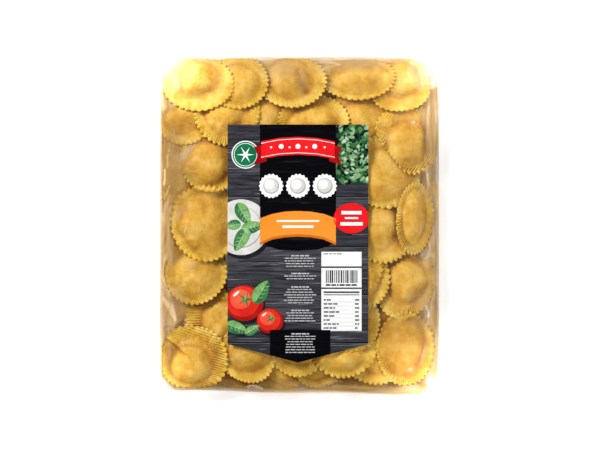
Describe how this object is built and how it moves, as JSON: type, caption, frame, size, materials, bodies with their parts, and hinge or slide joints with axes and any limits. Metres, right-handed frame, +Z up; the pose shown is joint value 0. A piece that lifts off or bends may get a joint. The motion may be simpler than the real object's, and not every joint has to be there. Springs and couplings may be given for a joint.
{
  "type": "sealed clear pack of ravioli",
  "caption": "Flat clear film pack of frozen round fluted ravioli that press up through the film, with a pointed printed card label on top.",
  "frame": {"origin": "on the surface the pack lies on, under the middle of the pack's box", "axes": "+Z up out of the label, +Y along the pack to its top edge, +X to the right as the label faces the reader"},
  "size_m": [0.252, 0.3053, 0.0281],
  "materials": {
    "film_over_pasta": "clear glossy film drawn tight over golden egg pasta",
    "film": "thin clear plastic film, glossy, slightly milky where it wrinkles",
    "pasta": "smooth golden egg pasta, matt with a faint sheen",
    "card": "dark printed card with a satin coating",
    "print": "satin printing ink in flat fields of colour"
  },
  "bodies": {
    "root": {"bag": "film_over_pasta", "label": "card"}
  },
  "joints": []
}
